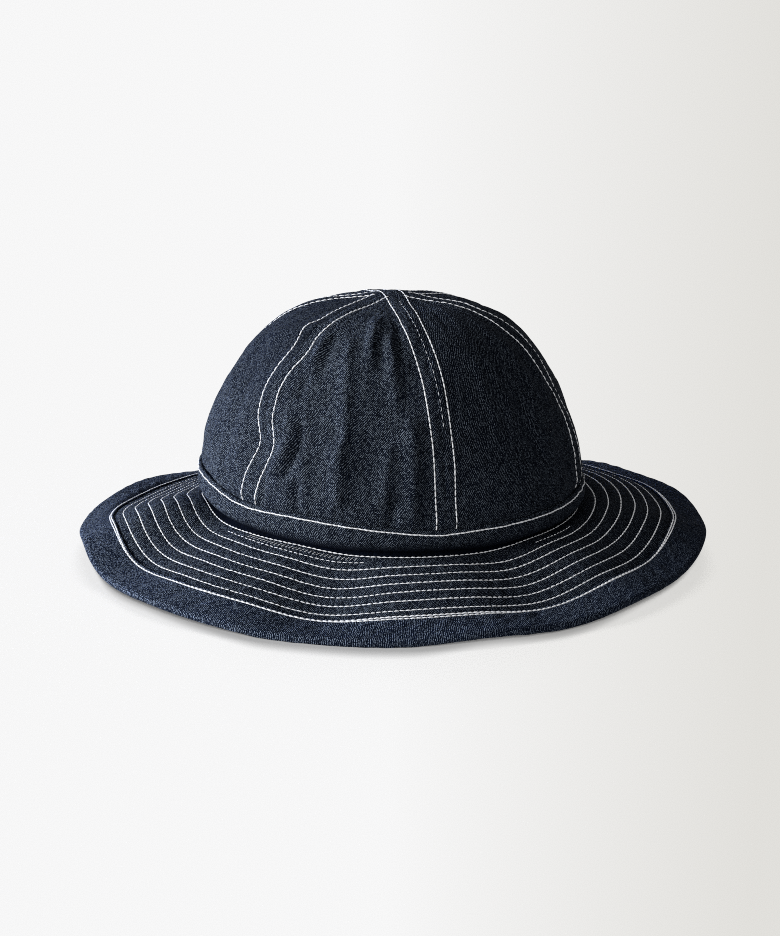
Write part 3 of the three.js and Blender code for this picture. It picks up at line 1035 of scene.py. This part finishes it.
class Shader(NodeMaker):
    """The nodes of one material, on Blender's own Principled surface."""

    def __init__(self, name):
        self.material = bpy.data.materials.new(name)
        self.material.use_nodes = True
        super().__init__(self.material.node_tree)
        self.surface = self.nodes["Principled BSDF"]

    def mix(self, share, a, b):
        node = self.nodes.new("ShaderNodeMix")
        node.data_type = "RGBA"
        self.join(share, node.inputs["Factor"])
        for name, value in (("A", a), ("B", b)):
            socket = next(s for s in node.inputs if s.name == name and s.type == "RGBA")
            self.join(value if isinstance(value, bpy.types.NodeSocket) else (*value, 1.0), socket)
        return next(s for s in node.outputs if s.type == "RGBA")

    def vector(self, x, y):
        return self.output("ShaderNodeCombineXYZ", X=x, Y=y)

    def noise(self, vector, scale, detail):
        return self.output("ShaderNodeTexNoise", Vector=vector, Scale=scale, Detail=detail)

    def speckle(self, vector):
        return self.output("ShaderNodeTexWhiteNoise", {"noise_dimensions": "2D"}, Vector=vector)

    def attribute(self, name):
        return self.node("ShaderNodeAttribute", {"attribute_name": name}).outputs["Fac"]

    def soft_step(self, value, **ends):
        return self.output("ShaderNodeMapRange", {"interpolation_type": "SMOOTHSTEP"}, Value=value, **ends)

    def finished(self, colour, **values):
        """The material, with its colour and the plain values of its surface set."""
        self.join(colour, self.surface.inputs["Base Color"])
        for name, value in values.items():
            self.surface.inputs[name.replace("_", " ")].default_value = value
        return self.material

    def bump(self, height, distance, strength):
        normal = self.output("ShaderNodeBump", Height=height, Distance=distance, Strength=strength)
        self.join(normal, self.surface.inputs["Normal"])


WARP_PITCH = 0.33        # indigo yarns, side by side
PICK_PITCH = 0.45        # undyed yarns, one above the other
TWILL_REPEAT = 3         # yarns from one slanting line to the next
LINE_SOFTNESS = 1.6      # spread of a slanting line's edges
YARN_DRIFT = 3.0         # sideways wander of the indigo yarns
DRIFT_SCALE = 0.16
SLUB_ACROSS = 1.2        # thick places: slubs to a millimetre, across and along the yarns
SLUB_ALONG = 0.09
CLOUD_SCALE = 0.035      # broad patches of lighter dye
YARN_LIGHT = 0.35        # shares of the dye's lightness
SLUB_LIGHT = 0.9
CLOUD_LIGHT = 0.7
DYE_DEPTH = 0.6
FLECK_CONTRAST = 4.0     # single undyed stitches of the weave that show
FLECK_STRENGTH = 6.0
FLECK_LEAST = 0.03
FLECK_BETWEEN_SLUBS = 0.3

# Colours of the indigo yarns at their darkest and lightest, and of the undyed yarns
HAT_YARNS = ((0.001, 0.002, 0.005), (0.007, 0.012, 0.03), (0.26, 0.31, 0.38))
BINDING_YARNS = ((0.001, 0.003, 0.009), (0.01, 0.019, 0.05), (0.35, 0.43, 0.57))
REVERSE_YARNS = ((0.03, 0.04, 0.07), (0.16, 0.19, 0.25), (0.5, 0.53, 0.56))


def denim_material(name, yarns, cut_angle=0.0, line_width=0.42):
    """Twill denim: indigo warp yarns over pale weft yarns that show in slanting lines, with slubs."""
    shader = Shader(name)
    warp_dark, warp_light, weft = yarns
    coordinates = shader.output("ShaderNodeUVMap", {"uv_map": "cloth"})
    flat = shader.output("ShaderNodeMapping", Vector=coordinates, Rotation=(0, 0, math.radians(cut_angle)))
    split = shader.node("ShaderNodeSeparateXYZ", Vector=flat).outputs
    drift = shader.maths("MULTIPLY_ADD", shader.noise(flat, DRIFT_SCALE, 4.0), YARN_DRIFT, -YARN_DRIFT / 2)
    across = shader.maths("ADD", split[0], drift)
    up = split[1]
    warp = shader.maths("DIVIDE", across, WARP_PITCH)
    pick = shader.maths("DIVIDE", up, PICK_PITCH)
    warp_number = shader.maths("FLOOR", warp)
    pick_number = shader.maths("FLOOR", pick)

    slant = shader.maths("DIVIDE", shader.maths("SUBTRACT", warp, pick), TWILL_REPEAT)
    wave = shader.maths("COSINE", shader.maths("MULTIPLY", slant, 2 * math.pi))
    edge = LINE_SOFTNESS * (1 - line_width)
    line = shader.soft_step(wave, From_Min=edge - 1, From_Max=edge)

    yarn = shader.speckle(shader.vector(warp_number, 0.5))
    fleck = shader.speckle(shader.vector(warp_number, pick_number))
    slub_across = shader.maths("MULTIPLY", across, SLUB_ACROSS)
    slub_up = shader.maths("MULTIPLY", up, SLUB_ALONG)
    slub = shader.noise(shader.vector(slub_across, slub_up), 1.0, 3.0)
    cloud = shader.noise(flat, CLOUD_SCALE, 3.0)
    light = shader.maths("MULTIPLY_ADD", slub, SLUB_LIGHT, -DYE_DEPTH)
    light = shader.maths("MULTIPLY_ADD", yarn, YARN_LIGHT, light)
    light = shader.maths("MULTIPLY_ADD", cloud, CLOUD_LIGHT, light)
    dyed = shader.mix(shader.maths("MAXIMUM", 0.0, light), warp_dark, warp_light)

    bare = shader.maths("POWER", fleck, FLECK_CONTRAST)
    bare = shader.maths("MULTIPLY_ADD", bare, FLECK_STRENGTH, FLECK_LEAST)
    bare = shader.maths("MULTIPLY", bare, shader.maths("ADD", slub, FLECK_BETWEEN_SLUBS))
    pale = shader.maths("MINIMUM", 1.0, shader.maths("MULTIPLY", line, bare))
    # painted shade: the mesh's attribute dims the pale flecks wherever shade is painted
    pale = shader.maths("MULTIPLY", pale, shader.attribute("painted_light"))

    warp_round = shader.maths("SINE", shader.maths("MULTIPLY", shader.maths("FRACT", warp), math.pi))
    over = shader.maths("MULTIPLY", warp_round, shader.maths("SUBTRACT", 1.0, line))
    shader.bump(shader.maths("MULTIPLY_ADD", slub, 0.6, over), 0.0002, 0.5)
    return shader.finished(
        shader.mix(pale, dyed, weft), Roughness=0.9, Specular_IOR_Level=0.05,
        Sheen_Weight=0.01, Sheen_Roughness=0.5, Sheen_Tint=(0.55, 0.65, 1.0, 1.0))


THREAD_SOILED = (0.84, 0.85, 0.88)
THREAD_WHITE = (0.96, 0.97, 0.99)


def thread_material():
    """Off-white cotton thread, with the fine twist of its plies."""
    shader = Shader("topstitch_thread")
    place_on_piece = shader.node("ShaderNodeTexCoord").outputs["Object"]
    twist = shader.noise(place_on_piece, 2600.0, 2.0)
    soil = shader.noise(place_on_piece, 140.0, 2.0)
    share = shader.maths("MULTIPLY_ADD", twist, 0.6, shader.maths("MULTIPLY", soil, 0.5))
    shader.bump(twist, 0.00015, 0.5)
    return shader.finished(
        shader.mix(share, THREAD_SOILED, THREAD_WHITE), Roughness=0.75, Specular_IOR_Level=0.3)


def floor_material():
    """Pale paper with painted shade that fans out to a slightly warmer grey on the right, and a painted
    shadow close round the brim.
    """
    shader = Shader("pale_floor")
    coordinates = shader.node("ShaderNodeTexCoord").outputs["Object"]
    fan = shader.output(
        "ShaderNodeMapping", {"vector_type": "TEXTURE"}, Vector=coordinates, Location=FAN_CENTRE,
        Rotation=(0, 0, math.radians(90 + VIEW_AZIMUTH)))
    split = shader.node("ShaderNodeSeparateXYZ", Vector=fan).outputs
    near = shader.maths("MULTIPLY_ADD", split[0], split[0], FAN_SOFTNESS**2)
    length = shader.maths("SQRT", shader.maths("MULTIPLY_ADD", split[1], split[1], near))
    turn = shader.maths("DIVIDE", split[1], length)
    share = shader.maths("MULTIPLY", turn, -1 / math.sin(math.radians(FAN_SPREAD)))
    share = shader.maths("MINIMUM", 1.0, shader.maths("MAXIMUM", 0.0, share))
    shaded_paper = shader.mix(share, PAPER_WHITE, PAPER_IN_SHADE)
    # painted shadow round the brim, darkening the paper
    shade = shader.soft_step(shader.attribute("shade"), To_Max=SHADE_DEPTH)
    return shader.finished(
        shader.mix(shade, shaded_paper, (0.0, 0.0, 0.0)), Roughness=1.0, Specular_IOR_Level=0.0)


# Studio

# painted shade on the floor, in a fan that darkens towards the right
FAN_CENTRE = (-0.26, -0.93, 0)
FAN_SPREAD = 11
FAN_SOFTNESS = 0.15
PAPER_WHITE = (0.9, 0.9, 0.9)
PAPER_IN_SHADE = (0.73, 0.72, 0.69)
FLOOR_RADIUS = 15000
SHADE_REACH = 8.5        # soft painted shadow on the floor in front of the brim
SHADE_FADE = 13
SHADE_DEPTH = 0.5
SHADE_INSET = 12         # how far it keeps under the brim elsewhere, inside and outside its fade
SHADE_OUTER_INSET = 4
ROOM_COLOUR = (0.95, 0.97, 1.0, 1.0)
ROOM_STRENGTH = 0.035
PIXEL_FILTER = 0.95

VIEW_AZIMUTH = -15.5
VIEW_ELEVATION = 15.5
VIEW_DISTANCE = 1000
VIEW_SCALE = 0.498       # millimetres of the hat to one pixel of the photograph
VIEW_HEIGHT = 38.2
VIEW_SHIFT = -0.76
PHOTO_HEIGHT = 936
SENSOR = 36

HAT_ONLY = bpy.data.collections.new("hat_only")
FLOOR_ONLY = bpy.data.collections.new("floor_only")
THREAD_ONLY = bpy.data.collections.new("thread_only")

# name, azimuth from the camera, elevation, strength, softness, colour, what it lights, if it casts shadows
LIGHTS = [
    ("key_light", -84, 8, 4.0, 40, (0.96, 0.98, 1.0), HAT_ONLY, True),
    ("high_key", -104, 30, 0.15, 40, (0.5, 0.66, 1.0), HAT_ONLY, True),
    ("left_fill", -128, 0, 2.0, 50, (0.3, 0.46, 1.0), HAT_ONLY, True),
    ("front_fill", -45, 0, 1.55, 50, (1.0, 1.0, 0.98), HAT_ONLY, True),
    ("floor_bounce", -25, -25, 0.06, 60, (1.0, 1.0, 1.0), HAT_ONLY, True),
    ("right_fill", 60, 0, 0.26, 60, (0.95, 0.97, 1.0), HAT_ONLY, True),
    ("back_light", 178, 18, 0.25, 60, (1.0, 1.0, 1.0), HAT_ONLY, True),
    ("thread_light", -10, 30, 1.3, 110, (1.0, 1.0, 1.0), THREAD_ONLY, True),
    ("floor_front_light", 0, 28, 3.3, 12, (1.0, 1.0, 1.0), FLOOR_ONLY, True),
    ("floor_back_light", 180, 50, 0.5, 30, (1.0, 1.0, 1.0), FLOOR_ONLY, True),
    ("floor_fill", 0, 90, 1.2, 10, (1.0, 1.0, 1.0), FLOOR_ONLY, False),
]


def away(azimuth, elevation):
    """Direction from the hat to something seen at an azimuth and elevation."""
    a = math.radians(azimuth)
    e = math.radians(elevation)
    return Vector((math.sin(a) * math.cos(e), -math.cos(a) * math.cos(e), math.sin(e)))


def add_camera():
    camera = bpy.data.objects.new("photo_camera", bpy.data.cameras.new("photo_camera"))
    side = math.radians(VIEW_AZIMUTH)
    aim = Vector((math.cos(side), math.sin(side), 0)) * VIEW_SHIFT + Vector((0, 0, VIEW_HEIGHT))
    back = away(VIEW_AZIMUTH, VIEW_ELEVATION)
    camera.location = (aim + back * VIEW_DISTANCE) * MM
    camera.rotation_euler = (-back).to_track_quat("-Z", "Y").to_euler()
    camera.data.sensor_width = SENSOR
    camera.data.lens = VIEW_DISTANCE / VIEW_SCALE * SENSOR / PHOTO_HEIGHT
    camera.data.clip_start = 0.01
    camera.data.clip_end = 100
    bpy.context.scene.collection.objects.link(camera)
    bpy.context.scene.camera = camera


def add_sun(name, azimuth, elevation, strength, softness, colour, lit, shadow):
    """A broad, distant light for the pieces in one collection."""
    sun = bpy.data.objects.new(name, bpy.data.lights.new(name, "SUN"))
    sun.data.energy = strength
    sun.data.angle = math.radians(softness)
    sun.data.color = colour
    sun.data.use_shadow = shadow
    sun.rotation_euler = away(VIEW_AZIMUTH + azimuth, elevation).to_track_quat("Z", "Y").to_euler()
    sun.light_linking.receiver_collection = lit
    bpy.context.scene.collection.objects.link(sun)


def floor_mesh():
    """A wide round floor; its shade attribute, a painted shadow, is 1 under the hat and fades out in front of
    the brim.
    """
    azimuth = np.arange(0, 360, 1.0)
    towards = np.array(away(VIEW_AZIMUTH, 0))
    edge = BRIM.at(azimuth, BRIM_EDGE)
    hidden = edge[:, 2] / math.tan(math.radians(VIEW_ELEVATION))
    front = smooth_step(2 * np.cos(np.radians(azimuth - VIEW_AZIMUTH)) + 0.5)
    rings = []
    for reach, inset in ((SHADE_REACH, SHADE_INSET), (SHADE_REACH + SHADE_FADE, SHADE_OUTER_INSET)):
        shift = (reach - hidden) * front
        rings.append(edge + shift[:, None] * towards - place(azimuth, inset * (1 - front), 0.0))
    points = np.concatenate([np.zeros((1, 3)), *rings, place(azimuth, FLOOR_RADIUS, 0.0)])
    points[:, 2] = 0
    count = len(azimuth)
    faces = []
    for k in range(count):
        n = (k + 1) % count
        faces.append((0, 1 + k, 1 + n))
        for first in (1, 1 + count):
            faces.append((first + k, first + count + k, first + count + n, first + n))
    mesh = bpy.data.meshes.new("floor")
    mesh.from_pydata((points * MM).tolist(), [], faces)
    shade = [1.0] * (1 + count) + [0.0] * (2 * count)
    mesh.attributes.new("shade", "FLOAT", "POINT").data.foreach_set("value", shade)
    return mesh


def add_studio():
    """A pale floor, broad lights that each fall on the hat, its thread or the floor alone, and a dim room."""
    mesh = floor_mesh()
    mesh.materials.append(floor_material())
    floor = bpy.data.objects.new("floor", mesh)
    floor.visible_diffuse = False
    scene = bpy.context.scene
    scene.collection.objects.link(floor)
    FLOOR_ONLY.objects.link(floor)
    for light in LIGHTS:
        add_sun(*light)
    world = bpy.data.worlds.new("room")
    world.use_nodes = True
    background = world.node_tree.nodes["Background"]
    background.inputs["Color"].default_value = ROOM_COLOUR
    background.inputs["Strength"].default_value = ROOM_STRENGTH
    scene.world = world
    scene.view_settings.view_transform = "Standard"
    scene.cycles.use_denoising = False
    scene.cycles.filter_width = PIXEL_FILTER


# Assembly

def dress(piece, slot, *nodes):
    """Seats a finished piece on the hat, in place of the nodes it stands for."""
    HAT_ONLY.objects.link(piece)
    if slot == "thread":
        THREAD_ONLY.objects.link(piece)
    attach(piece, "root")
    if nodes:
        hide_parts(*nodes)


add_camera()
add_studio()

denim = denim_material("indigo_denim", HAT_YARNS)
brim_denim = denim_material("brim_denim", HAT_YARNS, cut_angle=20)
bias_denim = denim_material("bias_denim", BINDING_YARNS, cut_angle=-40)
reverse_denim = denim_material("denim_reverse", REVERSE_YARNS, line_width=0.8)

for panel in range(PANELS):
    dress(panel_piece(panel, [denim, reverse_denim]), "denim", f"crown_panel_{panel + 1}")
dress(band_piece([denim, reverse_denim]), "denim", "band")
dress(brim_piece([brim_denim]), "denim", "brim")
dress(binding_piece([bias_denim]), "binding_denim", "brim_binding")

# name, rows, seed, pitch and, where they aren't the usual, share of the pitch, thread width and slant
SEWING = [
    ("crown_topstitch", crown_rows(), 11, CROWN_PITCH),
    ("band_topstitch", band_rows(), 12, BAND_PITCH),
    ("brim_topstitch", brim_rows(1), 13, BRIM_PITCH),
    ("brim_underside_stitch", brim_rows(-1), 14, BRIM_PITCH),
    ("brim_part_stitch", part_rows(1.0, [(292, 337), (29, 46)]), 15, BRIM_PITCH, 0.7, 0.42),
    ("brim_ladder_stitch", part_rows(0.5, [(300, 335)]), 17, 2.0, 1.2, 0.24, 60),
    ("front_seam_thread", seam_thread_rows(), 16, 3.6, 0.5, 0.2),
]
stitches = stitch_tree()
thread = thread_material()
for name, *sewing in SEWING:
    dress(stitched_piece(name, stitches, thread, *sewing), "thread")
